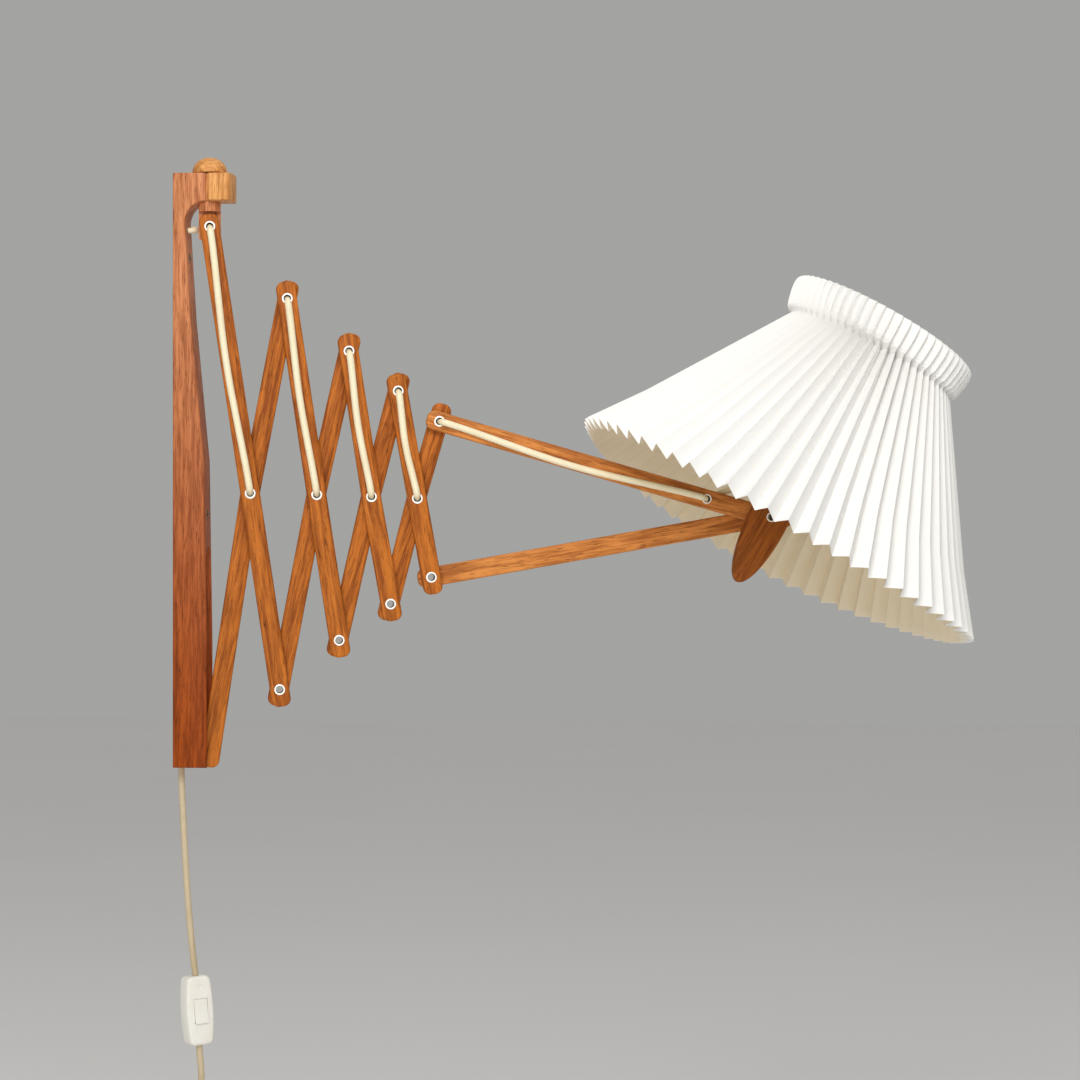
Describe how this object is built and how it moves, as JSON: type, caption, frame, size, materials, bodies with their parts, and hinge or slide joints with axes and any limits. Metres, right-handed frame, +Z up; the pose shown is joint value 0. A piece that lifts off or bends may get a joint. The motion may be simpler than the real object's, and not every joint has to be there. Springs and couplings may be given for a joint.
{
  "type": "accordion wall lamp",
  "caption": "Wall lamp with a wooden scissor arm of crossed bars on a pivoting post, two long arms, and a pleated shade on a tilting holder; fed by a lead with an inline switch and plug.",
  "frame": {"origin": "middle of the wall board's flat back, on the wall, halfway up the board and across it", "axes": "+X out of the wall, +Z up along the board, +Y completes the right-handed frame"},
  "size_m": [0.7383, 0.4187, 1.0306],
  "materials": {
    "wood": "oiled, satin",
    "pale_wood": "oiled, satin",
    "rivet_metal": "polished",
    "screw_metal": "satin",
    "ivory_cord": "satin",
    "lead": "satin",
    "white_plastic": "gloss",
    "cap_metal": "satin",
    "bulb_glass": "opal",
    "paper": "matte"
  },
  "bodies": {
    "wall_unit": {"wall_board": "wood", "nose_block": "pale_wood", "wall_screw_upper": "screw_metal", "wall_screw_lower": "screw_metal", "channel_lead": "lead", "lead_upper": "lead", "switch_base": "white_plastic", "switch_cover": "white_plastic", "lead_lower": "lead", "lead_coil": "lead", "coil_tie": "white_plastic", "plug_body": "white_plastic", "plug_pin_1": "cap_metal", "plug_pin_2": "cap_metal"},
    "rocker": {"switch_rocker": "white_plastic"},
    "swivel": {"swivel_post": "wood", "swivel_knob": "wood", "entry_cord": "ivory_cord"},
    "front_1": {"front_bar_1": "wood", "rivet_t0": "rivet_metal", "rivet_c0": "rivet_metal", "rivet_b1": "rivet_metal", "front_cord_1": "ivory_cord"},
    "back_1": {"back_bar_1": "wood", "back_cord_1": "ivory_cord"},
    "front_2": {"front_bar_2": "wood", "rivet_t1": "rivet_metal", "rivet_c1": "rivet_metal", "rivet_b2": "rivet_metal", "front_cord_2": "ivory_cord"},
    "back_2": {"back_bar_2": "wood", "back_cord_2": "ivory_cord"},
    "front_3": {"front_bar_3": "wood", "rivet_t2": "rivet_metal", "rivet_c2": "rivet_metal", "rivet_b3": "rivet_metal", "front_cord_3": "ivory_cord"},
    "back_3": {"back_bar_3": "wood", "back_cord_3": "ivory_cord"},
    "front_4": {"front_bar_4": "wood", "rivet_t3": "rivet_metal", "rivet_c3": "rivet_metal", "rivet_b4": "rivet_metal", "front_cord_4": "ivory_cord"},
    "back_4": {"back_bar_4": "wood", "back_cord_4": "ivory_cord"},
    "upper": {"upper_arm": "wood", "rivet_t4": "rivet_metal", "rivet_arm_eyelet": "rivet_metal", "rivet_end": "rivet_metal", "arm_cord": "ivory_cord"},
    "lower": {"lower_arm": "wood"},
    "head": {"shade_holder": "wood", "lampholder_body": "white_plastic", "lampholder_ring": "white_plastic", "shade_carrier": "white_plastic", "bulb_cap": "cap_metal", "bulb": "bulb_glass", "shade": "paper", "socket_cord": "ivory_cord"}
  },
  "joints": [
    {"name": "swivel", "type": "hinge", "parent": "wall_unit", "child": "swivel", "pos_m": [0.032, 0, 0.22527], "axis": [0, 0, 1], "range_deg": [-42, 18]},
    {"name": "fold", "type": "hinge", "parent": "swivel", "child": "front_1", "pos_m": [0.032, 0, 0.22527], "axis": [0.2079, -0.9781, 0], "range_deg": [-2.5, 15]},
    {"name": "cross_1", "type": "hinge", "parent": "front_1", "child": "back_1", "pos_m": [0.06834, 0.00772, -0.02124], "axis": [0.2079, -0.9781, 0], "range_deg": [-32, 7]},
    {"name": "upper_pivot_1", "type": "hinge", "parent": "back_1", "child": "front_2", "pos_m": [0.1018, 0.01484, 0.1593], "axis": [0.2079, -0.9781, 0], "range_deg": [-7, 32]},
    {"name": "cross_2", "type": "hinge", "parent": "front_2", "child": "back_2", "pos_m": [0.12837, 0.02048, -0.02243], "axis": [0.2079, -0.9781, 0], "range_deg": [-32, 7]},
    {"name": "upper_pivot_2", "type": "hinge", "parent": "back_2", "child": "front_3", "pos_m": [0.15765, 0.02671, 0.11096], "axis": [0.2079, -0.9781, 0], "range_deg": [-7, 32]},
    {"name": "cross_3", "type": "hinge", "parent": "front_3", "child": "back_3", "pos_m": [0.17804, 0.03104, -0.02415], "axis": [0.2079, -0.9781, 0], "range_deg": [-32, 7]},
    {"name": "upper_pivot_3", "type": "hinge", "parent": "back_3", "child": "front_4", "pos_m": [0.20237, 0.03621, 0.07417], "axis": [0.2079, -0.9781, 0], "range_deg": [-7, 32]},
    {"name": "cross_4", "type": "hinge", "parent": "front_4", "child": "back_4", "pos_m": [0.21982, 0.03992, -0.02567], "axis": [0.2079, -0.9781, 0], "range_deg": [-32, 7]},
    {"name": "upper_arm_pivot", "type": "hinge", "parent": "back_4", "child": "upper", "pos_m": [0.24001, 0.04421, 0.04608], "axis": [0.2079, -0.9781, 0], "range_deg": [-4.23, 17.68]},
    {"name": "lower_arm_pivot", "type": "hinge", "parent": "front_4", "child": "lower", "pos_m": [0.23268, 0.04266, -0.09916], "axis": [0.2079, -0.9781, 0], "range_deg": [-17.68, 4.23]},
    {"name": "tilt", "type": "hinge", "parent": "upper", "child": "head", "pos_m": [0.54547, 0.10914, -0.04285], "axis": [0.2079, -0.9781, 0], "range_deg": [-30, 6]},
    {"name": "rocker", "type": "hinge", "parent": "wall_unit", "child": "rocker", "pos_m": [0.02369, 0.00104, -0.5013], "axis": [0.7942, 0.606, 0.0458], "range_deg": [-10, 0]}
  ],
  "couplings": [
    {"joint": "cross_1", "follows": "fold", "ratio": -2},
    {"joint": "cross_2", "follows": "fold", "ratio": -2},
    {"joint": "cross_3", "follows": "fold", "ratio": -2},
    {"joint": "cross_4", "follows": "fold", "ratio": -2},
    {"joint": "upper_pivot_1", "follows": "fold", "ratio": 2},
    {"joint": "upper_pivot_2", "follows": "fold", "ratio": 2},
    {"joint": "upper_pivot_3", "follows": "fold", "ratio": 2},
    {"joint": "upper_arm_pivot", "follows": "fold", "ratio": 1.0762},
    {"joint": "lower_arm_pivot", "follows": "fold", "ratio": -1.0762}
  ]
}
